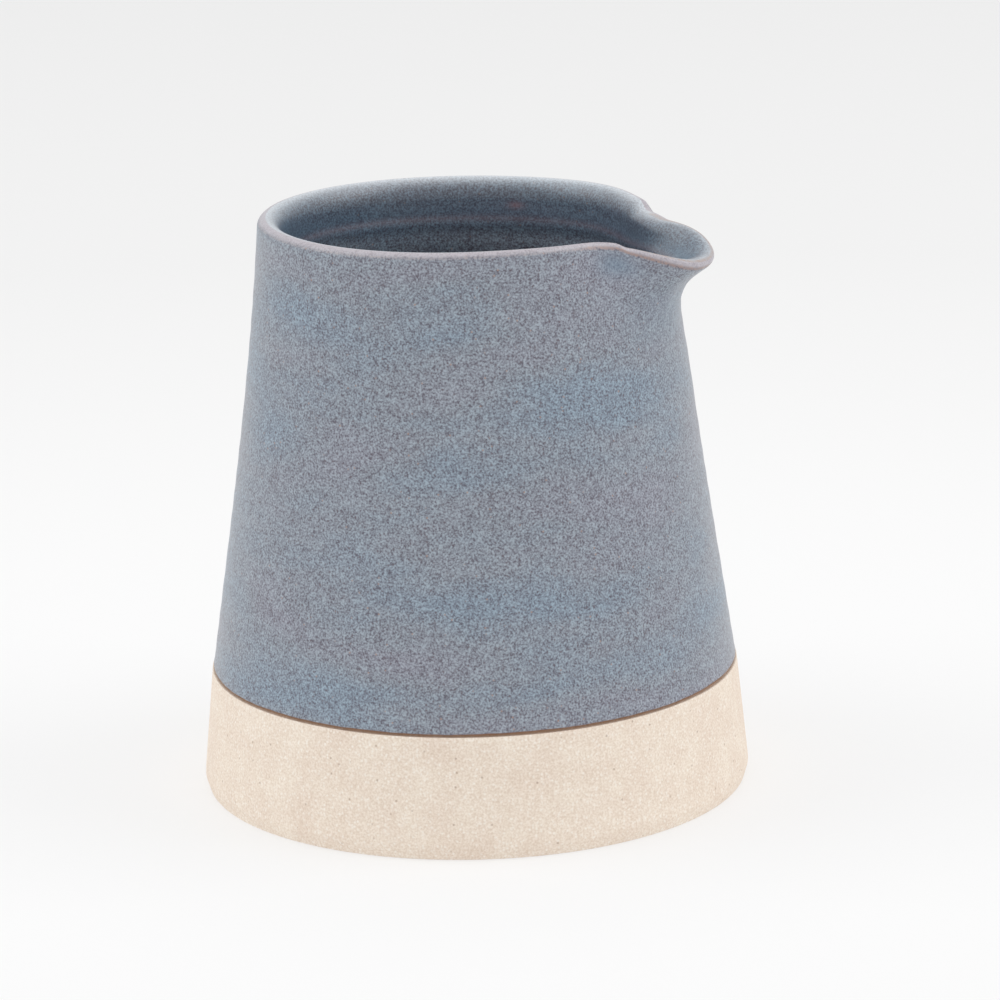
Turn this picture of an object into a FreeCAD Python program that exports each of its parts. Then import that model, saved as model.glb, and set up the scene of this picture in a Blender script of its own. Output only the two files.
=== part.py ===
import FreeCAD, Part
import math
import os
import Sketcher
from FreeCAD import Vector

# A small wheel-thrown pitcher. The clay body is one piece: floor, tapering wall, rolled rim and
# a spout pulled out of the rim. Two coats of glaze lie on it: one outside, from the turned
# stop groove up over the rim, and one inside. The origin is the middle of the foot, +Z is up,
# and the spout points along +X.

doc = FreeCAD.newDocument("Pitcher")

dimensions = (
    ("bodyHeight", 100.05, "clay height at the back of the rim, mm"),
    ("baseRadius", 48.0, "outside radius of the bare band at the foot, mm"),
    ("bandSlope", 0.0976, "how fast the bare band comes in, mm per mm"),
    ("wallRadius", 48.25, "outside radius that the glazed wall's clay would have at the foot, mm"),
    ("rimRadius", 35.2, "outside radius at the rim, mm"),
    ("footSlope", 0.126, "how fast the glazed wall comes in at the foot, mm per mm"),
    ("rimSlope", 0.069, "how fast the glazed wall comes in at the rim, mm per mm"),
    ("rimWall", 4.2, "wall thickness at the rim, mm"),
    ("footWall", 6.0, "wall thickness at the foot, mm"),
    ("floorThickness", 6.5, "clay floor, mm"),
    ("floorCorner", 8.0, "radius between floor and wall inside, mm"),
    ("lipOutside", 1.2, "rounding of the rim outside, mm"),
    ("lipInside", 3.4, "rounding of the rim inside, mm"),
    ("spoutArc", 24.6, "height of wall that the spout is pulled from, mm"),
    ("spoutReach", 8.9, "how far the wall is pulled outwards at the spout, mm"),
    ("spoutDroop", 8.3, "how far the wall comes down as it is pulled, mm"),
    ("spoutPower", 2.1, "how the pull grows towards the lip, a power"),
    ("spoutHalfAngle", 19.8, "half the angle that the spout takes of the rim, degrees"),
    ("spoutSquareness", 3.9, "how sharply the spout's sides rise, a power"),
    ("spoutThinning", 0.38, "part of the wall's thickness that the pull takes away"),
    ("pinchDepth", 1.1, "how far the rim is drawn in beside the spout, mm"),
    ("pinchSink", 0.7, "how far the rim comes down beside the spout, mm"),
    ("pinchAngle", 27.8, "where the rim is drawn in, degrees from the spout"),
    ("pinchSpread", 16.2, "how wide the drawn-in places are, degrees"),
    ("frontPull", 1.6, "how far the whole front of the rim is drawn in, mm"),
    ("pullHeight", 30.0, "height of wall that the drawing-in takes, mm"),
    ("glazeThickness", 0.35, "thickness of both glazes, mm"),
    ("glazeLine", 21.4, "height where the outside glaze stops, mm"),
    ("stopWidth", 0.55, "width of the glaze-stop groove, mm"),
    ("stopDepth", 0.1, "how far the glaze-stop groove cuts in under the glazed wall's clay, mm"),
    ("bevelHeight", 2.0, "height of the bevel round the foot, mm"),
    ("bevelWidth", 0.8, "how far the bevel cuts in under the foot, mm"),
    ("footRing", 8.0, "width of the ring that the pitcher stands on, mm"),
    ("recessDepth", 1.5, "depth of the turned recess under the foot, mm"),
    ("recessSlope", 1.5, "how far the recess narrows over its depth, mm"),
)
sheet = doc.addObject("Spreadsheet::Sheet", "Dimensions")
for row, (alias, value, note) in enumerate(dimensions, start=1):
    sheet.set(f"A{row}", note)
    sheet.set(f"B{row}", str(value))
    sheet.setAlias(f"B{row}", alias)
doc.recompute()

anglesRound = 120          # sections round the pitcher
rowSpacing = 3.0           # mm between rows up the wall
quarterHandle = 0.5523     # handle length of a curve that stands for a quarter circle


# ---- the thrown section, before the spout is pulled ----

def bandRadius(height):
    """Outside of the bare band, a straight taper that stands flush with the glaze above it."""
    return sheet.baseRadius - sheet.bandSlope * height


def outsideRadius(height):
    """Outside of the glazed wall's clay at a height: a gentle double curve up to the rim."""
    t = height / sheet.bodyHeight
    reach = sheet.bodyHeight / 3
    low = sheet.wallRadius - sheet.footSlope * reach
    high = sheet.rimRadius + sheet.rimSlope * reach
    return ((1 - t) ** 3 * sheet.wallRadius + 3 * t * (1 - t) ** 2 * low
            + 3 * t * t * (1 - t) * high + t ** 3 * sheet.rimRadius)


def insideRadius(height):
    """Inside of the clay at a height, with a wall that thickens towards the foot."""
    t = height / sheet.bodyHeight
    return outsideRadius(height) - sheet.footWall * (1 - t) - sheet.rimWall * t


def wallRows(radiusAt, start, end, offset):
    """Rows up or down a wall from one height to the other, moved sideways by an offset."""
    count = max(3, math.ceil(abs(end - start) / rowSpacing))
    heights = [start + (end - start) * i / count for i in range(count + 1)]
    return [(radiusAt(height) + offset, height) for height in heights]


def quarterRows(start, corner, end):
    """Rows of a quarter round from start to end, whose two tangents meet at the corner."""
    handles = [tuple(a + (c - a) * quarterHandle for a, c in zip(side, corner))
               for side in (start, end)]
    return [start, handles[0], handles[1], end]


def sectionStrips(coat):
    """The section as strips of rows, all raised above the clay by the coat's thickness."""
    top = sheet.bodyHeight + coat
    crest = (outsideRadius(sheet.bodyHeight) - sheet.lipOutside, top)
    outsideEnd = sheet.bodyHeight - sheet.lipOutside
    insideStart = sheet.bodyHeight - sheet.lipInside
    cornerTop = sheet.floorThickness + sheet.floorCorner
    outside = wallRows(outsideRadius, sheet.glazeLine, outsideEnd, coat)
    inside = wallRows(insideRadius, insideStart, cornerTop, -coat)
    floorEdge = (insideRadius(cornerTop) - sheet.floorCorner, sheet.floorThickness + coat)
    return {
        "band": wallRows(bandRadius, 0, sheet.glazeLine, 0),
        "ledge": [(bandRadius(sheet.glazeLine), sheet.glazeLine), outside[0]],
        "outside": outside,
        "lipOutside": quarterRows(outside[-1], (outside[-1][0], top), crest),
        "lipInside": quarterRows(crest, (inside[0][0], top), inside[0]),
        "inside": inside,
        "floorCorner": quarterRows(inside[-1], (inside[-1][0], floorEdge[1]), floorEdge),
    }


# ---- the spout ----

def pulled(radius, height, angle):
    """Where a point of the thrown section goes, at an angle in degrees from the spout."""
    rise = min(max((height - sheet.bodyHeight) / sheet.pullHeight + 1, 0), 1)
    drawn = rise * rise * (3 - 2 * rise)
    beside = math.exp(-((abs(angle) - sheet.pinchAngle) / sheet.pinchSpread) ** 2)
    front = (1 + math.cos(math.radians(angle))) / 2
    radius -= drawn * (sheet.pinchDepth * beside + sheet.frontPull * front)
    height -= drawn * sheet.pinchSink * beside

    start = sheet.bodyHeight - sheet.spoutArc
    if height <= start:
        return radius, height
    # the wall leans out more and more, and the lip above it keeps its own shape
    mouth = math.exp(-(abs(angle) / sheet.spoutHalfAngle) ** sheet.spoutSquareness)
    along = min(height, sheet.bodyHeight - sheet.lipInside)
    out = (along - start) / sheet.spoutArc
    pull = mouth * out ** sheet.spoutPower
    pullSlope = mouth * sheet.spoutPower * out ** (sheet.spoutPower - 1) / sheet.spoutArc
    tilt = math.atan2(sheet.spoutReach * pullSlope, 1 - sheet.spoutDroop * pullSlope)
    wall = outsideRadius(along)
    across = (radius - wall) * (1 - sheet.spoutThinning * mouth * out)
    beyond = height - along
    return (wall + sheet.spoutReach * pull + across * math.cos(tilt) + beyond * math.sin(tilt),
            along - sheet.spoutDroop * pull - across * math.sin(tilt) + beyond * math.cos(tilt))


def ringPoints(radius, height):
    """The row's points all round, with the spout pulled."""
    points = []
    for i in range(anglesRound):
        angle = 360 * i / anglesRound
        fromSpout = (angle + 180) % 360 - 180
        newRadius, newHeight = pulled(radius, height, fromSpout)
        turn = math.radians(angle)
        points.append(Vector(newRadius * math.cos(turn), newRadius * math.sin(turn), newHeight))
    return points


def ringPoles(radius, height):
    """Poles of a closed cubic curve that passes through the row's points."""
    points = ringPoints(radius, height)
    return [(points[i] * 8 - points[i - 1] - points[(i + 1) % anglesRound]) / 6
            for i in range(anglesRound)]


def stripFace(rows):
    """A smooth face round the pitcher through a strip of rows."""
    poles = [list(column) for column in zip(*(ringPoles(*row) for row in rows))]
    degree = min(3, len(rows) - 1)
    spans = len(rows) - degree
    rowMults = [degree + 1] + [1] * (spans - 1) + [degree + 1]
    surface = Part.BSplineSurface()
    surface.buildFromPolesMultsKnots(
        poles, [1] * (anglesRound + 1), rowMults,
        [float(i) for i in range(anglesRound + 1)], [float(i) for i in range(spans + 1)],
        True, False, 3, degree)
    return surface.toShape()


def discFace(row):
    """A flat face that fills a level row."""
    curve = Part.BSplineCurve()
    curve.buildFromPolesMultsKnots(
        ringPoles(*row), [1] * (anglesRound + 1), [float(i) for i in range(anglesRound + 1)],
        True, 3)
    return Part.Face(Part.Wire(curve.toShape()))


def closedSolid(faces):
    """The solid that a closed set of faces bounds."""
    shell = Part.makeCompound(faces)
    shell.sewShape(0.001)
    solid = Part.Solid(shell.Shells[0])
    if solid.Volume < 0:
        solid.reverse()
    return solid


clay = sectionStrips(0)
glaze = sectionStrips(sheet.glazeThickness)


# ---- the stoneware body ----

def turnedCut(body, name, corners):
    """Turns a closed outline out of the body. Corners are pairs of expressions in the sheet."""
    plane = next(p for p in body.Origin.OriginFeatures if p.Role == "XZ_Plane")
    sketch = body.newObject("Sketcher::SketchObject", name + "Outline")
    sketch.AttachmentSupport = [(plane, "")]
    sketch.MapMode = "FlatFace"
    doc.recompute()
    places = [Vector(sheet.evalExpression(x), sheet.evalExpression(y), 0) for x, y in corners]
    for i, place in enumerate(places):
        sketch.addGeometry(Part.LineSegment(place, places[(i + 1) % len(places)]), False)
    for i, (place, corner) in enumerate(zip(places, corners)):
        sketch.addConstraint(Sketcher.Constraint("Coincident", i, 2, (i + 1) % len(places), 1))
        axes = (("DistanceX", place.x, corner[0], -2), ("DistanceY", place.y, corner[1], -1))
        for kind, value, expression, axis in axes:
            if expression == "0":
                sketch.addConstraint(Sketcher.Constraint("PointOnObject", i, 1, axis))
            else:
                number = sketch.addConstraint(Sketcher.Constraint(kind, -1, 1, i, 1, value))
                sketch.setExpression(f"Constraints[{number}]", expression)
    before = body.Shape.Volume
    cut = body.newObject("PartDesign::Groove", name)
    cut.Profile = sketch
    cut.ReferenceAxis = (sketch, ["V_Axis"])
    cut.Angle = 360
    doc.recompute()
    if not body.Shape.Volume < before:
        raise RuntimeError(f"{name} cuts nothing")
    return cut


thrownForm = doc.addObject("Part::Feature", "ThrownForm")
thrownForm.Shape = closedSolid(
    [stripFace(clay[name]) for name in
     ("band", "ledge", "outside", "lipOutside", "lipInside", "inside", "floorCorner")]
    + [discFace(clay["band"][0]), discFace(clay["floorCorner"][-1])])

stonewareBody = doc.addObject("PartDesign::Body", "StonewareBody")
stonewareBody.Label = "stoneware_body"
stonewareBody.BaseFeature = thrownForm
doc.recompute()

clearance = 1.0            # how far a cut's outline reaches outside the clay, mm


# outsideRadius at the glaze line, as an expression for a sketch
t = "(Dimensions.glazeLine / Dimensions.bodyHeight)"
low = "(Dimensions.wallRadius - Dimensions.footSlope * Dimensions.bodyHeight / 3)"
high = "(Dimensions.rimRadius + Dimensions.rimSlope * Dimensions.bodyHeight / 3)"
wallAtLine = (f"(1 - {t})^3 * Dimensions.wallRadius + 3 * {t} * (1 - {t})^2 * {low}"
              f" + 3 * {t}^2 * (1 - {t}) * {high} + {t}^3 * Dimensions.rimRadius")

clear = f"Dimensions.baseRadius + {clearance}"
stopFloor = wallAtLine + " - Dimensions.stopDepth"
stopFoot = "Dimensions.glazeLine - Dimensions.stopWidth"
turnedCut(stonewareBody, "GlazeStop", (
    (stopFloor, "Dimensions.glazeLine"), (clear, "Dimensions.glazeLine"),
    (clear, stopFoot), (stopFloor, stopFoot)))

turnedCut(stonewareBody, "FootBevel", (
    ("Dimensions.baseRadius - Dimensions.bevelWidth", "0"), (clear, "0"),
    (clear, "Dimensions.bevelHeight"),
    ("Dimensions.baseRadius - Dimensions.bandSlope * Dimensions.bevelHeight",
     "Dimensions.bevelHeight")))

recessEdge = "Dimensions.baseRadius - Dimensions.footRing"
turnedCut(stonewareBody, "FootRecess", (
    ("0", "0"), (recessEdge, "0"),
    (recessEdge + " - Dimensions.recessSlope", "Dimensions.recessDepth"),
    ("0", "Dimensions.recessDepth")))


# ---- the glazes ----

def glazeCoat(name, strips, ends, discs):
    """A coat between the clay and the glaze's own surface over the same strips."""
    coat = doc.addObject("Part::Feature", name)
    coat.Shape = closedSolid(
        [stripFace(layer[strip]) for layer in (clay, glaze) for strip in strips]
        + [stripFace([layer[strip][row] for layer in (clay, glaze)]) for strip, row in ends]
        + [discFace(layer[strip][row]) for layer in (clay, glaze) for strip, row in discs])
    coat.Placement = FreeCAD.Placement()
    return coat


outerGlaze = glazeCoat("OuterGlaze", ("outside", "lipOutside"),
                       (("outside", 0), ("lipOutside", -1)), ())
outerGlaze.Label = "outer_glaze"
linerGlaze = glazeCoat("LinerGlaze", ("lipInside", "inside", "floorCorner"),
                       (("lipInside", 0),), (("floorCorner", -1),))
linerGlaze.Label = "liner_glaze"


# ---- check and write ----

doc.recompute()
for item in doc.Objects:
    if "Invalid" in item.State or "Error" in item.State:
        raise RuntimeError(f"{item.Name} failed: {item.State}")

os.makedirs("parts", exist_ok=True)
for piece in (stonewareBody, outerGlaze, linerGlaze):
    if piece.Shape.isNull() or not piece.Shape.isValid():
        raise RuntimeError(f"{piece.Label} is not a valid shape")
    piece.Shape.exportStep(f"parts/{piece.Label}.step")
    print(f"{piece.Label}: {len(piece.Shape.Solids)} solid, {piece.Shape.Volume:.0f} mm3")
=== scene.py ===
# A small wheel-thrown stoneware pitcher with a bare clay foot band and a satin speckled glaze.
# In the dictionaries lengths are millimetres and angles are degrees. Angles round the pot are
# counted from the spout, which is at +X.
import math

import bpy
import numpy as np
from mathutils import Matrix, Vector


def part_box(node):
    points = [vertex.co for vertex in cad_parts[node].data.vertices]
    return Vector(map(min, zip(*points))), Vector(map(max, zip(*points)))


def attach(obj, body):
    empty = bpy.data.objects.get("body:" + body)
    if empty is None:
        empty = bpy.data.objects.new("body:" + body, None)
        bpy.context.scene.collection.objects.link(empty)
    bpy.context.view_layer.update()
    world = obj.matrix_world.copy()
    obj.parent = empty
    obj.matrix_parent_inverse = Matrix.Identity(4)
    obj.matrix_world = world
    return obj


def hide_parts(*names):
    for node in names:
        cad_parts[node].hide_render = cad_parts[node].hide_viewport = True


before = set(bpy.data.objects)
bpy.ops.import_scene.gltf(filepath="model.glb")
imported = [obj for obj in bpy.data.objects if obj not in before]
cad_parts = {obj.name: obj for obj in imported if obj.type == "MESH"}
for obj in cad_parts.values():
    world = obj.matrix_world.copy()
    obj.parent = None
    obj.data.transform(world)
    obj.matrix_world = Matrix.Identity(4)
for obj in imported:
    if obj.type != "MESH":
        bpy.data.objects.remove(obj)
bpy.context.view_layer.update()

mm = 0.001
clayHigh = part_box("stoneware_body")[1]
coatLow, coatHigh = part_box("outer_glaze")
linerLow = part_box("liner_glaze")[0]
print("frame loaded:", sorted(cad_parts))


view = {
    "lens": 154.3,             # on a 36 mm sensor
    "distance": 719.3,         # from the pitcher's axis, along the floor
    "height": 241.6,
    "fromFront": 22.2,         # how far the camera stands round towards the spout
    "aimRight": 0.41,
    "aimDown": 14.98,
    "lean": -1.36,
}
turnRound = math.radians(view["fromFront"])
cameraData = bpy.data.cameras.new("studioCamera")
cameraData.lens = view["lens"]
cameraData.sensor_width = 36
cameraData.clip_start = 0.01
cameraData.clip_end = 50
camera = bpy.data.objects.new("studioCamera", cameraData)
bpy.context.collection.objects.link(camera)
camera.matrix_world = (
    Matrix.Rotation(turnRound, 4, "Z")
    @ Matrix.Translation((0, -view["distance"] * mm, view["height"] * mm))
    @ Matrix.Rotation(-math.radians(view["aimRight"]), 4, "Z")
    @ Matrix.Rotation(math.radians(90 - view["aimDown"]), 4, "X")
    @ Matrix.Rotation(math.radians(view["lean"]), 4, "Z"))
bpy.context.scene.camera = camera
bpy.context.scene.view_settings.view_transform = "Standard"
print("camera placed")


# hex colour to linear
def sRgb(code):
    parts = [int(code[i:i + 2], 16) / 255 for i in (1, 3, 5)]
    return [p / 12.92 if p <= 0.04045 else ((p + 0.055) / 1.055) ** 2.4 for p in parts] + [1]


def newMaterial(name):
    material = bpy.data.materials.new(name)
    material.use_nodes = True
    material.node_tree.nodes.clear()
    return material, material.node_tree


# A node with its settings and links. An input is given a number, a hex colour, a socket, or a
# node whose first output in use is meant. The stops of a ramp are (place, hex colour or grey).
# A mix of colours has its factor at input 0 and the two colours at inputs 6 and 7.
def addNode(tree, kind, inputs, stops=(), **settings):
    node = tree.nodes.new(kind)
    for name, value in settings.items():
        setattr(node, name, value)
    for key, value in inputs.items():
        if isinstance(value, bpy.types.Node):
            value = next(output for output in value.outputs if output.enabled)
        if isinstance(value, bpy.types.NodeSocket):
            tree.links.new(value, node.inputs[key])
        else:
            node.inputs[key].default_value = sRgb(value) if isinstance(value, str) else value
    for i, (place, tone) in enumerate(stops):
        elements = node.color_ramp.elements
        stop = elements[i] if i < len(elements) else elements.new(place)
        stop.position = place
        stop.color = sRgb(tone) if isinstance(tone, str) else (tone, tone, tone, 1)
    return node


# round specks in some of the cells of a scatter: up to 1 in a speck and 0 outside it
def specks(tree, place, spacing, radius, share, strength):
    cells = addNode(tree, "ShaderNodeTexVoronoi", {"Vector": place, "Scale": 1 / (spacing * mm)})
    near = addNode(tree, "ShaderNodeValToRGB", {"Fac": cells.outputs["Distance"]}, (
        (0.5 * radius / spacing, strength), (1.5 * radius / spacing, 0.0)))
    picked = addNode(tree, "ShaderNodeSeparateColor", {"Color": cells.outputs["Color"]})
    chosen = addNode(tree, "ShaderNodeMath", {0: share, 1: picked.outputs["Red"]},
                     operation="GREATER_THAN")
    return addNode(tree, "ShaderNodeMath", {0: near, 1: chosen}, operation="MULTIPLY")


glaze = {
    "crystal": 0.34,           # spacing of the crystals that mottle it, mm
    "cluster": 1.3,            # spacing of their clusters
    "drift": 13.0,             # slow change from bluer to more violet
    "speckSpacing": 0.90,      # dark iron specks
    "speckRadius": 0.18,
    "speckShare": 0.5,
    "speckStrength": 0.62,
    "speckTone": "#57474f",
    "rustSpacing": 1.6,        # the rarer rust-coloured ones
    "rustRadius": 0.15,
    "rustShare": 0.45,
    "rustStrength": 0.7,
    "rustTone": "#a5826f",
    "poolTone": "#5f7e94",     # where it gathered and fired bluer; also painted shade under the spout
    "shallowTone": "#cdd6de",  # that tints it bluer under the rim, inside
    "blushTone": "#8a6468",    # where iron in the clay shows through
    "edgeTone": "#9b725a",     # rust, along its edges
    "skin": 0.02,              # depth of the grain in its satin skin
    "roughness": 0.34,
    "specular": 0.75,
}


# Satin reactive glaze, dipped and fired: blue-grey crystals float in a violet-brown ground with
# iron specks. It breaks pale over the lip and to rust on edges, and is bluer where it pools.
def reactiveGlaze(name, lightTone, middleTone, darkTone, lipTone):
    material, tree = newMaterial(name)
    place = addNode(tree, "ShaderNodeTexCoord", {}).outputs["Object"]
    crystals = addNode(tree, "ShaderNodeTexNoise", {
        "Vector": place, "Scale": 1 / (glaze["crystal"] * mm), "Detail": 2.0})
    clusters = addNode(tree, "ShaderNodeTexNoise", {
        "Vector": place, "Scale": 1 / (glaze["cluster"] * mm), "Detail": 1.0})
    mottle = addNode(tree, "ShaderNodeMath", {0: clusters, 1: 0.2, 2: crystals},
                     operation="MULTIPLY_ADD")
    colour = addNode(tree, "ShaderNodeValToRGB", {"Fac": mottle}, (
        (0.40, darkTone), (0.58, middleTone), (0.78, lightTone)))

    flattened = addNode(tree, "ShaderNodeMapping", {"Vector": place, "Scale": (0.35, 0.35, 1)})
    drift = addNode(tree, "ShaderNodeTexNoise", {
        "Vector": flattened, "Scale": 1 / (glaze["drift"] * mm), "Detail": 4.0})
    tint = addNode(tree, "ShaderNodeValToRGB", {"Fac": drift}, (
        (0.35, "#f6eef0"), (0.50, "#f2f2f2"), (0.66, "#e6f2f8")))

    dark = specks(tree, place, glaze["speckSpacing"], glaze["speckRadius"],
                  glaze["speckShare"], glaze["speckStrength"])
    rust = specks(tree, place, glaze["rustSpacing"], glaze["rustRadius"],
                  glaze["rustShare"], glaze["rustStrength"])
    poolAndShade, shallow, blush, lip, edge = [
        addNode(tree, "ShaderNodeAttribute", {}, attribute_name=field).outputs["Fac"]
        for field in ("poolAndShade", "shallow", "blush", "lip", "edge")]
    cover = addNode(tree, "ShaderNodeValToRGB", {"Fac": crystals}, ((0.30, 0.62), (0.65, 0.95)))
    covered = addNode(tree, "ShaderNodeMath", {0: lip, 1: cover}, operation="MULTIPLY")
    ragged = addNode(tree, "ShaderNodeMath", {0: edge, 1: mottle}, operation="MULTIPLY")
    broken = addNode(tree, "ShaderNodeValToRGB", {"Fac": ragged}, ((0.40, 0.0), (0.80, 0.70)))

    # from the ground up: how much of each shows, its tone, and how it goes on
    layers = (
        (1.0, tint, "MULTIPLY"),
        (dark, glaze["speckTone"], "MIX"),
        (rust, glaze["rustTone"], "MIX"),
        # pooled glaze, and on the outside painted shade under the spout
        (poolAndShade, glaze["poolTone"], "MIX"),
        (shallow, glaze["shallowTone"], "MULTIPLY"),
        (blush, glaze["blushTone"], "MIX"),
        # pale lip; inside, stronger on the far side of the rim as a painted highlight
        (covered, lipTone, "MIX"),
        (broken, glaze["edgeTone"], "MIX"),
    )
    for share, tone, blend in layers:
        colour = addNode(tree, "ShaderNodeMix", {0: share, 6: colour, 7: tone},
                         data_type="RGBA", blend_type=blend)

    skin = addNode(tree, "ShaderNodeBump", {
        "Height": crystals, "Distance": glaze["skin"] * mm, "Strength": 0.5})
    shader = addNode(tree, "ShaderNodeBsdfPrincipled", {
        "Base Color": colour, "Roughness": glaze["roughness"], "IOR": 1.5,
        "Specular IOR Level": glaze["specular"], "Normal": skin})
    addNode(tree, "ShaderNodeOutputMaterial", {"Surface": shader})
    return material


clay = {
    "grain": 0.35,             # spacing of the sandy grain, mm
    "cloud": 6.0,
    "grogSpacing": 0.60,       # pale grains of crushed fired clay
    "grogRadius": 0.20,
    "grogShare": 0.45,
    "grogStrength": 0.45,
    "grogTone": "#fdf9f2",
    "pitSpacing": 2.2,         # pinholes and iron specks
    "pitRadius": 0.18,
    "pitShare": 0.7,
    "pitStrength": 0.6,
    "pitTone": "#a08570",
    "toastTone": "#8c5a32",    # in the groove, where the fire toasted it
    "relief": 0.035,           # depth of the grain
    "roughness": 0.9,
    "specular": 0.25,
}


# Bare grogged stoneware, trimmed, sponged and fired without glaze: cream, matt and dry, with
# paler grains of grog and a few brown pinholes, and toasted brown in the glaze-stop groove.
def bareStoneware(name):
    material, tree = newMaterial(name)
    place = addNode(tree, "ShaderNodeTexCoord", {}).outputs["Object"]
    grain = addNode(tree, "ShaderNodeTexNoise", {
        "Vector": place, "Scale": 1 / (clay["grain"] * mm), "Detail": 3.0})
    colour = addNode(tree, "ShaderNodeValToRGB", {"Fac": grain}, (
        (0.32, "#e3d4c5"), (0.5, "#ede1d4"), (0.68, "#f7eee4")))
    clouds = addNode(tree, "ShaderNodeTexNoise", {
        "Vector": place, "Scale": 1 / (clay["cloud"] * mm), "Detail": 3.0})
    cloud = addNode(tree, "ShaderNodeValToRGB", {"Fac": clouds}, (
        (0.3, "#f8f3ef"), (0.7, "#fffefb")))
    grog = specks(tree, place, clay["grogSpacing"], clay["grogRadius"],
                  clay["grogShare"], clay["grogStrength"])
    pits = specks(tree, place, clay["pitSpacing"], clay["pitRadius"],
                  clay["pitShare"], clay["pitStrength"])
    toasted = addNode(tree, "ShaderNodeAttribute", {}, attribute_name="toasted").outputs["Fac"]
    patchy = addNode(tree, "ShaderNodeMath", {0: toasted, 1: cloud, 2: -0.05},
                     operation="MULTIPLY_ADD")
    layers = (
        (1.0, cloud, "MULTIPLY"),
        (grog, clay["grogTone"], "MIX"),
        (pits, clay["pitTone"], "MIX"),
        (patchy, clay["toastTone"], "MIX"),
    )
    for share, tone, blend in layers:
        colour = addNode(tree, "ShaderNodeMix", {0: share, 6: colour, 7: tone},
                         data_type="RGBA", blend_type=blend)
    dry = addNode(tree, "ShaderNodeBump", {
        "Height": grain, "Distance": clay["relief"] * mm, "Strength": 0.7})
    shader = addNode(tree, "ShaderNodeBsdfPrincipled", {
        "Base Color": colour, "Roughness": clay["roughness"], "IOR": 1.5,
        "Specular IOR Level": clay["specular"], "Normal": dry})
    addNode(tree, "ShaderNodeOutputMaterial", {"Surface": shader})
    return material


# The thrown section, in mm. The wall's curve and the band's taper stand on the foot.
thrown = {
    "coat": (coatHigh.z - clayHigh.z) / mm,        # thickness of the glazes
    "glazeLine": coatLow.z / mm,
    "floor": linerLow.z / mm,
    "bandRadius": 48.0,
    "bandSlope": 0.101,
    "wallRadius": 48.25,       # that the glazed wall's curve has at the foot
    "footSlope": 0.126,
    "rimRadius": 35.2,
    "rimSlope": 0.069,
    "footWall": 6.0,
    "rimWall": 4.2,
    "floorCorner": 8.0,
    "lipOutside": 1.2,
    "lipInside": 3.4,
    "rimWarp": 0.2,            # how far the rim rises and falls where the spout drew it
    "warpAngle": -3.0,
    "lean": 0.3,               # how far the whole pot leans at the rim
    "leanAngle": 22.0,
    "outOfRound": 0.08,
    "roundWaves": ((2, 0.6, 40), (3, 0.4, 100)),   # how many round, size, phase
}
thrown["height"] = clayHigh.z / mm - 2 * thrown["rimWarp"]
throwing = {
    "outsidePitch": 5.2,       # of the potter's spiral
    "outsideRidge": 0.025,
    "insidePitch": 6.1,
    "insideRidge": 0.10,
    "collarBelow": 7.4,        # a stronger ridge inside, under the rim
    "collarHeight": 0.9,
    "collarRidge": 0.28,
    "collarWaves": ((1, 0.35, 60), (2, 0.15, 10)),
    "stopBelow": 3.0,          # the rings fade out this far below the rim
    "floorPitch": 4.5,
    "floorRidge": 0.12,
}
spout = {
    "arc": 20.5,               # height of wall that it is pulled from
    "reach": 8.54,
    "droop": 7.67,
    "power": 1.82,
    "halfAngle": 18.5,
    "squareness": 2.66,
    "thinning": 0.38,
    "pinchDepth": 0.79,
    "nearSink": 0.61,          # how far the rim comes down beside it, at -Y
    "farSink": 0.86,
    "nearAngle": 27.7,         # where it is drawn in at -Y, and how widely
    "nearSpread": 17.5,
    "farAngle": 40.1,
    "farSpread": 17.2,
    "frontPull": 0.75,
    "pullHeight": 30.0,
    "nearStep": -22.3,         # where a finger left a small step in the rim at each side
    "farStep": 44.5,
    "farStepEnd": 11.3,
    "nearStepWidth": 3.0,      # over how many degrees each comes in, and fades towards the spout
    "nearStepFade": 16.0,
    "farStepWidth": 7.0,
    "farStepFade": 14.0,
    "nearDrop": 0.5,           # and how deep each one is
    "farDrop": 1.53,
    "stepReach": 4.0,          # how far below the rim they die out
    "lipThinning": 0.12,       # part of the lip's thickness taken off all round, from inside
    "nearThinning": 0.40,      # and more of it beside the spout at -Y
    "thinAngle": -40.0,
    "thinSpread": 22.0,
    "thinFrom": 9.0,           # it starts this far below the rim and is full after the next
    "thinOver": 7.0,
}
grid = {
    "angles": 540,             # points round each row
    "row": 0.7,                # mm between rows that show outside
    "insideRow": 1.2,          # and on average inside, where they crowd towards the rim
    "hiddenRow": 4.0,
    "footRow": 0.75,
    "crowding": 1.4,
    "sharpFrom": 38.0,         # edges that turn by more than this stay crisp
}
angles = np.linspace(-180, 180, grid["angles"], endpoint=False)


def smoothStep(x):
    x = np.clip(x, 0, 1)
    return x * x * (3 - 2 * x)


def hump(x, centre, width):
    return np.exp(-((x - centre) / width) ** 2)


# sum of waves round the pot, each (how many, size, phase)
def waves(parts):
    return sum(size * np.cos(np.radians(count * angles + phase)) for count, size, phase in parts)


def bandRadius(height):
    return thrown["bandRadius"] - thrown["bandSlope"] * height


def outsideRadius(height):
    t = height / thrown["height"]
    reach = thrown["height"] / 3
    low = thrown["wallRadius"] - thrown["footSlope"] * reach
    high = thrown["rimRadius"] + thrown["rimSlope"] * reach
    return ((1 - t) ** 3 * thrown["wallRadius"] + 3 * t * (1 - t) ** 2 * low
            + 3 * t * t * (1 - t) * high + t ** 3 * thrown["rimRadius"])


def insideRadius(height):
    t = height / thrown["height"]
    return outsideRadius(height) - thrown["footWall"] * (1 - t) - thrown["rimWall"] * t


# rows along a wall, which lie closer together near its start where crowding is over 1
def wallRows(radiusAt, start, end, offset, spacing, crowding=1.0):
    count = max(2, math.ceil(abs(end - start) / spacing))
    heights = start + (end - start) * np.linspace(0, 1, count + 1) ** crowding
    return [(radiusAt(z) + offset, z) for z in heights]


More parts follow.
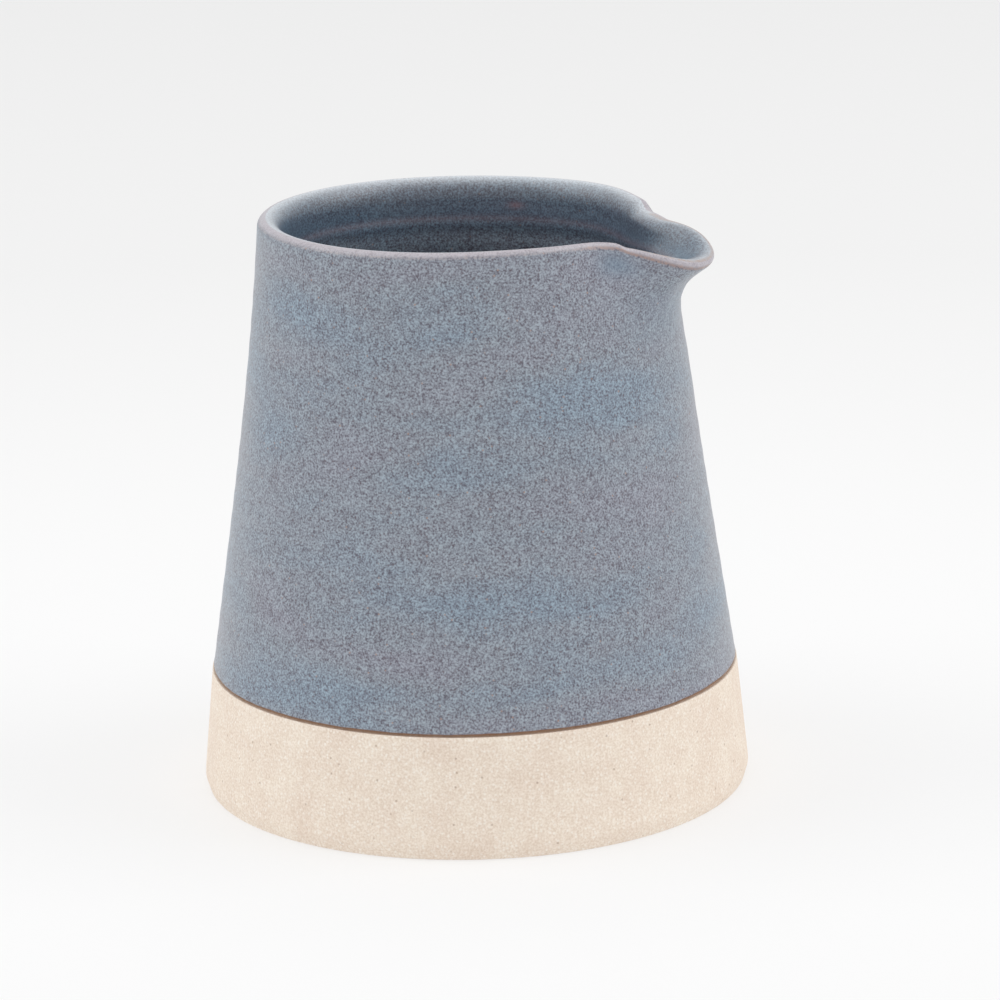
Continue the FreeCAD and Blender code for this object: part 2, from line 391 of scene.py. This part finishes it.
# a quarter round between two rows, leaving the first one upright or level
def quarterRows(start, end, upright, steps=8):
    rows = []
    for turn in np.linspace(0, math.pi / 2, steps + 1):
        across, along = 1 - math.cos(turn), math.sin(turn)
        if not upright:
            across, along = along, across
        rows.append((start[0] + (end[0] - start[0]) * across,
                     start[1] + (end[1] - start[1]) * along))
    return rows


# rows up the outside and over to the crest of the rim, a coat's thickness above the clay
def outsideRows(coat, spacing):
    wall = wallRows(outsideRadius, thrown["glazeLine"], thrown["height"] - thrown["lipOutside"],
                    coat, spacing)
    crest = (thrown["rimRadius"] - thrown["lipOutside"], thrown["height"] + coat)
    return wall + quarterRows(wall[-1], crest, True)[1:]


# rows from the crest down the inside and in across the floor
def insideRows(coat, spacing):
    crest = (thrown["rimRadius"] - thrown["lipOutside"], thrown["height"] + coat)
    cornerTop = thrown["floor"] + thrown["floorCorner"]
    wall = wallRows(insideRadius, thrown["height"] - thrown["lipInside"], cornerTop, -coat,
                    spacing, grid["crowding"])
    edge = (insideRadius(cornerTop) - thrown["floorCorner"], thrown["floor"] + coat)
    floor = [(radius, edge[1]) for radius in np.arange(edge[0], 1, -spacing)]
    return (quarterRows(crest, wall[0], False, 12) + wall[1:]
            + quarterRows(wall[-1], edge, True, 16)[1:] + floor[1:])


# the marks of throwing: spiral ridges that drift a little, faint outside and stronger inside and
# on the floor, and a collar under the rim inside where the potter's finger stopped
def handThrown(radius, height):
    onWall = smoothStep((thrown["height"] - throwing["stopBelow"] - height) / 4)
    inside = smoothStep((outsideRadius(height) - radius - 2) / 0.5)
    turn = angles / 360
    drift = 0.25 * np.sin(height * 0.23) + 0.15 * np.sin(height * 0.11 + 1)
    outer = np.sin(2 * np.pi * (height / throwing["outsidePitch"] - turn + drift))
    inner = np.sin(2 * np.pi * (height / throwing["insidePitch"] - turn + drift * 0.6))
    aboveFloor = smoothStep((height - thrown["floor"] - thrown["floorCorner"]) / 6)
    collarAt = thrown["height"] - throwing["collarBelow"] + waves(throwing["collarWaves"])
    collar = hump(height, collarAt, throwing["collarHeight"]) * throwing["collarRidge"]
    aboveLine = smoothStep((height - thrown["glazeLine"]) / 3)
    radius = radius + onWall * (
        (1 - inside) * aboveLine * throwing["outsideRidge"] * outer
        - inside * (aboveFloor * throwing["insideRidge"] * inner + collar))
    ridge = throwing["floorRidge"]
    floorSpiral = ridge * np.sin(2 * np.pi * (radius / throwing["floorPitch"] - turn)) - ridge
    onFloor = inside * (1 - smoothStep((height - thrown["floor"] - 1) / 2)) * smoothStep(radius / 6)
    floorEdge = insideRadius(thrown["floor"]) - thrown["floorCorner"]
    beforeCorner = smoothStep((floorEdge - radius) / 4 + 1)
    return radius, height + 0.5 * onFloor * beforeCorner * floorSpiral


# where the rows go when the spout is pulled from the wall and the rim beside it is drawn in
def pulled(radius, height):
    rise = smoothStep((height - thrown["height"]) / spout["pullHeight"] + 1)
    beside = np.where(angles < 0, hump(-angles, spout["nearAngle"], spout["nearSpread"]),
                      hump(angles, spout["farAngle"], spout["farSpread"]))
    front = (1 + np.cos(np.radians(angles))) / 2
    atLip = smoothStep((height - thrown["height"] + spout["thinFrom"]) / spout["thinOver"])
    nearSide = hump(angles, spout["thinAngle"], spout["thinSpread"])
    thin = spout["lipThinning"] + spout["nearThinning"] * nearSide
    face = outsideRadius(height)
    radius = np.where(radius < face, face - (face - radius) * (1 - thin * atLip), radius)
    sink = np.where(angles < 0, spout["nearSink"], spout["farSink"])
    radius = radius - rise * (spout["pinchDepth"] * beside + spout["frontPull"] * front)
    height = height - rise * sink * beside
    nearStep = (smoothStep((angles - spout["nearStep"]) / spout["nearStepWidth"])
                * smoothStep(-angles / spout["nearStepFade"]))
    farStep = (smoothStep((spout["farStep"] - angles) / spout["farStepWidth"])
               * smoothStep((angles - spout["farStepEnd"]) / spout["farStepFade"]))
    atRim = smoothStep((height - thrown["height"]) / spout["stepReach"] + 1)
    height = height - atRim * (nearStep * spout["nearDrop"] + farStep * spout["farDrop"])

    start = thrown["height"] - spout["arc"]
    mouth = np.exp(-(np.abs(angles) / spout["halfAngle"]) ** spout["squareness"])
    along = np.minimum(height, thrown["height"] - thrown["lipInside"])
    out = np.maximum(along - start, 0) / spout["arc"]
    pull = mouth * out ** spout["power"]
    slope = mouth * spout["power"] * out ** (spout["power"] - 1) / spout["arc"]
    tilt = np.arctan2(spout["reach"] * slope, 1 - spout["droop"] * slope)
    wall = outsideRadius(along)
    across = (radius - wall) * (1 - spout["thinning"] * mouth * out)
    beyond = height - along
    return (wall + spout["reach"] * pull + across * np.cos(tilt) + beyond * np.sin(tilt),
            along - spout["droop"] * pull - across * np.sin(tilt) + beyond * np.cos(tilt))


# the points of the rows once the drying pot has leaned, warped and gone a little out of round
def settled(radius, height):
    grown = height / thrown["height"]
    warp = 1 + np.cos(np.radians(2 * (angles - thrown["warpAngle"])))
    height = height + thrown["rimWarp"] * warp * smoothStep(grown * 1.5 - 0.5)
    radius = radius - thrown["outOfRound"] * (1 + waves(thrown["roundWaves"])) * grown
    lean = math.radians(thrown["leanAngle"])
    x = radius * np.cos(np.radians(angles)) + thrown["lean"] * math.cos(lean) * grown
    y = radius * np.sin(np.radians(angles)) + thrown["lean"] * math.sin(lean) * grown
    return np.stack([x, y, height], axis=-1) * mm


# Rows of (radius, height) become a mesh round the axis. A loop of rows closes on itself;
# otherwise both ends are filled. Each field gives a number to every point from its row.
def turnedPiece(name, rows, loop, fields=None, trimmed=None):
    radius = np.array([row[0] for row in rows])[:, None] * np.ones_like(angles)
    height = np.array([row[1] for row in rows])[:, None] * np.ones_like(angles)
    values = {key: rule(radius, height) for key, rule in (fields or {}).items()}
    if trimmed:
        radius, height = trimmed(radius, height)
    radius, height = pulled(*handThrown(radius, height))
    points = settled(radius, height)

    count, around = radius.shape
    first = np.arange(around)
    after = np.roll(first, -1)
    quads = []
    for j in range(count if loop else count - 1):
        low = j * around
        high = (j + 1) % count * around
        quads.append(np.stack([low + first, low + after, high + after, high + first], axis=-1))
    faces = np.concatenate(quads).tolist()
    vertices = points.reshape(-1, 3).tolist()
    if not loop:
        for ring, flip in ((0, True), (count - 1, False)):
            middle = len(vertices)
            vertices.append(points[ring].mean(axis=0).tolist())
            for a, b in zip((ring * around + first).tolist(), (ring * around + after).tolist()):
                faces.append([middle, b, a] if flip else [middle, a, b])
    mesh = bpy.data.meshes.new(name)
    mesh.from_pydata(vertices, [], faces)
    mesh.polygons.foreach_set("use_smooth", [True] * len(mesh.polygons))
    mesh.set_sharp_from_angle(angle=math.radians(grid["sharpFrom"]))
    for key, value in values.items():
        layer = mesh.attributes.new(key, "FLOAT", "POINT")
        flat = np.zeros(len(vertices))
        flat[:count * around] = (value * np.ones_like(radius)).reshape(-1)
        layer.data.foreach_set("value", flat)
    mesh.update()
    piece = bpy.data.objects.new(name, mesh)
    bpy.context.collection.objects.link(piece)
    print(name, "has", len(faces), "faces")
    return piece


# the glaze over the outside, up to the crest of the rim
outerCoat = {
    "bead": 0.03,              # how much thicker it is along its lower edge
    "ragged": 0.07,            # how unevenly that edge runs
    "edgeWaves": ((7, 0.5, 20), (13, 0.35, 75), (29, 0.3, 140), (61, 0.25, 10), (97, 0.2, 200)),
    "edgeBand": 0.50,          # height of the rust-coloured line under the lip
    "edgeAbove": 0.8,          # that it lies at, above where the lip starts to turn
    "lipFrom": 0.6,            # the lilac starts this far above there
    "lipOver": 0.7,
    "besideSpout": (-23, 6, 3.2, 2.2),     # where it pooled: angle, spread, depth, half height
    # painted shade under the overhanging spout, with some glaze pooled there
    "underSpoutShade": (0, 16, 12, 7),
}
line = thrown["glazeLine"]
top = thrown["height"]
lipTurn = top - thrown["lipOutside"]
coat = thrown["coat"]


# a soft spot at an angle round the pot and at a depth below the rim
def softSpot(height, angle, spread, depth, halfHeight):
    return hump(angles, angle, spread) * hump(height, top - depth, halfHeight)


def raggedEdge(radius, height):
    low = np.exp(-np.abs(height - line) / 0.5)
    return radius, height + outerCoat["ragged"] * (waves(outerCoat["edgeWaves"]) - 0.6) * low


def outerEdge(radius, height):
    strongerAtSpout = 0.72 + 0.35 * smoothStep((40 - np.abs(angles)) / 14)
    underLip = hump(height, lipTurn + outerCoat["edgeAbove"], outerCoat["edgeBand"])
    atLine = hump(height, line, 0.12)
    onFace = radius > outsideRadius(height) - thrown["lipOutside"]
    return (1.1 * underLip * strongerAtSpout + 1.2 * atLine) * onFace


def outerLip(radius, height):
    return 0.9 * smoothStep((height - lipTurn - outerCoat["lipFrom"]) / outerCoat["lipOver"])


# bluer pooled glaze beside the spout; under the spout, painted shade where the spout overhangs,
# with some pooled glaze
def outerPoolAndShade(radius, height):
    return (0.5 * softSpot(height, *outerCoat["besideSpout"])
            + 0.3 * softSpot(height, *outerCoat["underSpoutShade"]))


# rows of its lower edge, each so far out from the clay and so far above the line
lowEdge = [(outsideRadius(line) + out, line + up) for out, up in (
    (0.6 * coat, -0.04), (coat - 0.02, 0.05), (coat + outerCoat["bead"], 0.22))]
shown = outsideRows(coat, grid["row"])
hidden = outsideRows(0, grid["hiddenRow"])
outerGlaze = turnedPiece(
    "outerGlaze", lowEdge + shown[1:] + hidden[::-1], True,
    {"edge": outerEdge, "lip": outerLip, "poolAndShade": outerPoolAndShade}, raggedEdge)
outerGlaze.data.materials.append(
    reactiveGlaze("satinReactiveGlaze", "#a6b3be", "#868c98", "#5a5764", "#bdb5bb"))
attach(outerGlaze, "root")
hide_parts("outer_glaze")


# the glaze inside, poured in and swilled round: the same glaze, with darker tones that paint the
# shade inside the pot
linerCoat = {
    "lipWidth": 3.2,           # how far in from the crest the lilac of the rim reaches
    "lipDepth": 3.4,           # and how far down, and over how much it comes in
    "lipOver": 2.2,
    "edgeBand": 0.35,          # width of the rust line along the crest of the spout
    "edgeAngle": 38.0,         # that ends here, and fades over the next
    "edgeFade": 8.0,
    "poolDepth": 5.5,          # a bluer band below the rim
    "poolBand": 2.2,
    "inSpout": (0, 15, 5, 4),              # where it pooled: angle, spread, depth, half height
    "redSpot": (95, 2.6, 4.3, 0.6),        # where iron in the clay blushed through
    "deepFrom": 7.5,           # where the bluer glaze under the rim gives way to browner glaze
    "deepTo": 11.0,
}


# lilac where the glaze thins over the rim inside, made stronger on the far side of the rim as a
# painted highlight
def linerLipAndHighlight(radius, height):
    inFromCrest = thrown["rimRadius"] - thrown["lipOutside"] - radius
    fade = smoothStep((linerCoat["lipWidth"] - inFromCrest) / linerCoat["lipWidth"])
    paintedHighlightAtBack = 0.80 + 0.20 * hump((angles + 158) % 360 - 180, 90, 90)
    nearTop = smoothStep((height - top + linerCoat["lipDepth"]) / linerCoat["lipOver"])
    return fade * paintedHighlightAtBack * nearTop


def linerEdge(radius, height):
    atSpout = smoothStep((linerCoat["edgeAngle"] - np.abs(angles)) / linerCoat["edgeFade"])
    return 1.1 * atSpout * hump(height, top + coat, linerCoat["edgeBand"])


def linerPool(radius, height):
    below = hump(height, top - linerCoat["poolDepth"], linerCoat["poolBand"])
    return 0.22 * below + 0.35 * softSpot(height, *linerCoat["inSpout"])


def linerBlush(radius, height):
    overCollar = hump(height, top - throwing["collarBelow"] + 0.8, 0.5)
    return 0.6 * softSpot(height, *linerCoat["redSpot"]) + 0.22 * overCollar


def linerShallow(radius, height):
    below = (top - height - linerCoat["deepFrom"]) / (linerCoat["deepTo"] - linerCoat["deepFrom"])
    besideSpout = 1 - 0.8 * hump(angles, 0, 20)
    return (1 - smoothStep(below)) * besideSpout * (1 - linerLipAndHighlight(radius, height))


shown = insideRows(coat, grid["insideRow"])
hidden = insideRows(0, grid["hiddenRow"])
linerGlaze = turnedPiece(
    "linerGlaze", hidden[::-1] + shown, False,
    {"lip": linerLipAndHighlight, "edge": linerEdge, "poolAndShade": linerPool, "blush": linerBlush,
     "shallow": linerShallow})
# darker tones than outside, as painted shade inside the pot; the pale lip tone is partly a painted
# highlight
linerGlaze.data.materials.append(
    reactiveGlaze("satinLinerGlazePaintedShade", "#96a7b4", "#757b87", "#514c58", "#d5dbe1"))
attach(linerGlaze, "root")
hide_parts("liner_glaze")


# the stoneware body under both, with its bare band, groove and turned foot
foot = {
    "bevelHeight": 2.0,
    "bevelWidth": 0.8,
    "ring": 8.0,
    "recessDepth": 1.5,
    "recessSlope": 1.5,
    "stopWidth": 0.55,         # of the groove that the glaze stops at
    "stopDepth": 0.1,          # that it cuts in under the glazed wall's clay
    "arris": 0.1,              # softened corners
    "markPitch": 2.3,          # of the rings turned under the foot
    "markDepth": 0.05,
    "wander": 0.04,            # how unevenly the trimmed edge of the band runs
    "wanderWaves": ((3, 0.6, 50), (8, 0.4, 10), (17, 0.3, 80)),
    "trimLines": ((0.03, 3.6, 0.25), (0.02, 12.0, 0.3)),   # depth, height and width of each
}
stopFoot = line - foot["stopWidth"]
stopFloor = outsideRadius(line) - foot["stopDepth"]
recessEdge = thrown["bandRadius"] - foot["ring"]
recessInside = recessEdge - foot["recessSlope"]
footEdge = thrown["bandRadius"] - foot["bevelWidth"]
bevel = foot["bevelHeight"]
arris = foot["arris"]


def turnedFoot(radius, height):
    marks = foot["markDepth"] * np.sin(2 * np.pi * radius / foot["markPitch"])
    inRecess = (height < foot["recessDepth"] + 0.01) * (radius < recessInside)
    wander = foot["wander"] * waves(foot["wanderWaves"]) * hump(height, stopFoot, 1.0)
    trimDepth = sum(depth * hump(height, at, width) for depth, at, width in foot["trimLines"])
    onBand = radius > stopFloor + 0.2
    return radius + onBand * (wander - trimDepth), height + marks * inRecess


def toasted(radius, height):
    inGroove = (radius < stopFloor + 0.5) * (radius > stopFloor - 0.2)
    return inGroove * hump(height, line - 0.22, 0.5)


underside = [(1.0, foot["recessDepth"])]
underside += [(r, foot["recessDepth"]) for r in np.arange(2, recessInside, grid["footRow"])]
underside += [(recessInside, foot["recessDepth"]),
              (recessEdge - arris, arris), (recessEdge + arris, 0),
              (footEdge - 2 * arris, 0), (footEdge, arris)]
# up the bare band from its bevel, in to the groove's floor, and out to where the glaze starts
band = wallRows(bandRadius, bevel, stopFoot - arris, 0, grid["row"])
band[0] = (bandRadius(bevel) - 0.03, bevel)
groove = [(bandRadius(stopFoot) - arris * 0.7, stopFoot), (stopFloor + 0.15, stopFoot - 0.03),
          (stopFloor, stopFoot + 0.1), (stopFloor, line - 0.1), (stopFloor + arris, line)]
covered = outsideRows(0, grid["hiddenRow"]) + insideRows(0, grid["hiddenRow"])[1:]
stonewareBody = turnedPiece(
    "stonewareBody", underside + band + groove + covered, False, {"toasted": toasted}, turnedFoot)
stonewareBody.data.materials.append(bareStoneware("bareGroggedStoneware"))
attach(stonewareBody, "root")
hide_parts("stoneware_body")
print("pitcher built")


# A plain pale floor in a white tent of soft light. The floor glows with painted light, brighter
# near the pitcher and fading further out, so it stays pale and its shadows faint.
studio = {
    "floorSize": 8.0,          # m
    "floorTone": "#b3b3b3",
    "paintedFloorGlow": ((0.10, 0.475), (0.30, 0.42), (0.45, 0.39), (0.90, 0.39)),   # painted glow, at metres out from the pitcher
    "tent": 0.84,
    "sideLight": 4.2,          # W
    "topLight": 1.2,
}
floorMaterial, floorTree = newMaterial("paintedGlowFloor")
floorPlace = addNode(floorTree, "ShaderNodeTexCoord", {}).outputs["Object"]
# the floor's painted glow, falling off with distance from the pitcher
fromPitcher = addNode(floorTree, "ShaderNodeVectorMath", {0: floorPlace}, operation="LENGTH")
paintedFloorGlow = addNode(floorTree, "ShaderNodeValToRGB", {"Fac": fromPitcher.outputs["Value"]},
                    studio["paintedFloorGlow"])
floorShader = addNode(floorTree, "ShaderNodeBsdfPrincipled", {
    "Base Color": studio["floorTone"], "Roughness": 0.9, "Specular IOR Level": 0.1,
    "Emission Color": "#ffffff", "Emission Strength": paintedFloorGlow})
addNode(floorTree, "ShaderNodeOutputMaterial", {"Surface": floorShader})
floorMesh = bpy.data.meshes.new("studioFloor")
side = studio["floorSize"] / 2
floorMesh.from_pydata(
    [(-side, -side, 0), (side, -side, 0), (side, side, 0), (-side, side, 0)],
    [], [(0, 1, 2, 3)])
floorMesh.materials.append(floorMaterial)
studioFloor = bpy.data.objects.new("studioFloor", floorMesh)
bpy.context.collection.objects.link(studioFloor)

world = bpy.data.worlds.new("studioTent")
world.use_nodes = True
background = world.node_tree.nodes["Background"]
background.inputs["Color"].default_value = (1, 1, 1, 1)
background.inputs["Strength"].default_value = studio["tent"]
bpy.context.scene.world = world


# a square soft light; right, front and up are metres from the pitcher as the camera sees it
def softLight(name, right, front, up, size, energy):
    data = bpy.data.lights.new(name, "AREA")
    data.shape = "SQUARE"
    data.size = size
    data.energy = energy
    lamp = bpy.data.objects.new(name, data)
    bpy.context.collection.objects.link(lamp)
    lamp.location = Matrix.Rotation(turnRound, 4, "Z") @ Vector((right, -front, up))
    aim = Vector((0, 0, 0.05)) - lamp.location
    lamp.rotation_euler = aim.to_track_quat("-Z", "Y").to_euler()


softLight("leftSoftbox", -1.1, 0.0, 0.95, 1.0, studio["sideLight"])
softLight("rightSoftbox", 1.1, 0.1, 0.95, 1.0, studio["sideLight"] * 1.1)
softLight("topSoftbox", 0, -0.2, 1.3, 1.2, studio["topLight"])
print("studio lit")
